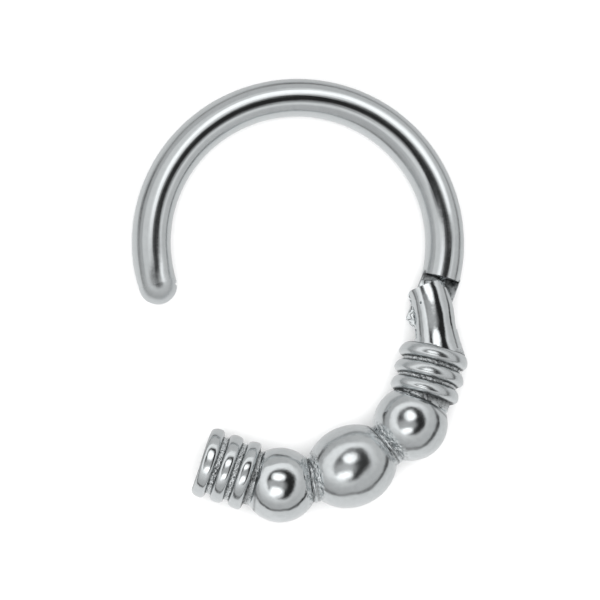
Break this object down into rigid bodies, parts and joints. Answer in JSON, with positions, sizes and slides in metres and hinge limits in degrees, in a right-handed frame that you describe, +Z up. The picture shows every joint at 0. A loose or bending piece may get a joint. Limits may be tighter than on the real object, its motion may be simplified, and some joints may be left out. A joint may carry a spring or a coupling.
{
  "type": "hinged segment ring",
  "caption": "Hinged piercing ring of polished steel: a round wire hoop and a beaded, coiled segment that turns on a hidden pin and closes onto the hoop's domed tip.",
  "frame": {"origin": "centre of the bounding box's base, on the surface that the open ring lies on", "axes": "+Z up from that surface, +Y towards the middle of the hoop's arc, +X towards the hinge"},
  "size_m": [0.0105, 0.014, 0.0025],
  "materials": {
    "wire_steel": "mirror-polished surgical steel wire",
    "cast_steel": "cast surgical steel, mirror-polished on the crowns and matt in the grooves",
    "pin_steel": "steel pin, ground flush and polished with the cheeks"
  },
  "bodies": {
    "hoop": {"hoop": "wire_steel"},
    "segment": {"segment": "cast_steel", "hinge_pin": "pin_steel"}
  },
  "joints": [
    {"name": "segment_hinge", "type": "hinge", "parent": "hoop", "child": "segment", "pos_m": [0.00418, -0.00012, 0.00102], "axis": [-0.0128, 0.0551, 0.9984], "range_deg": [-37.8, 60]}
  ]
}
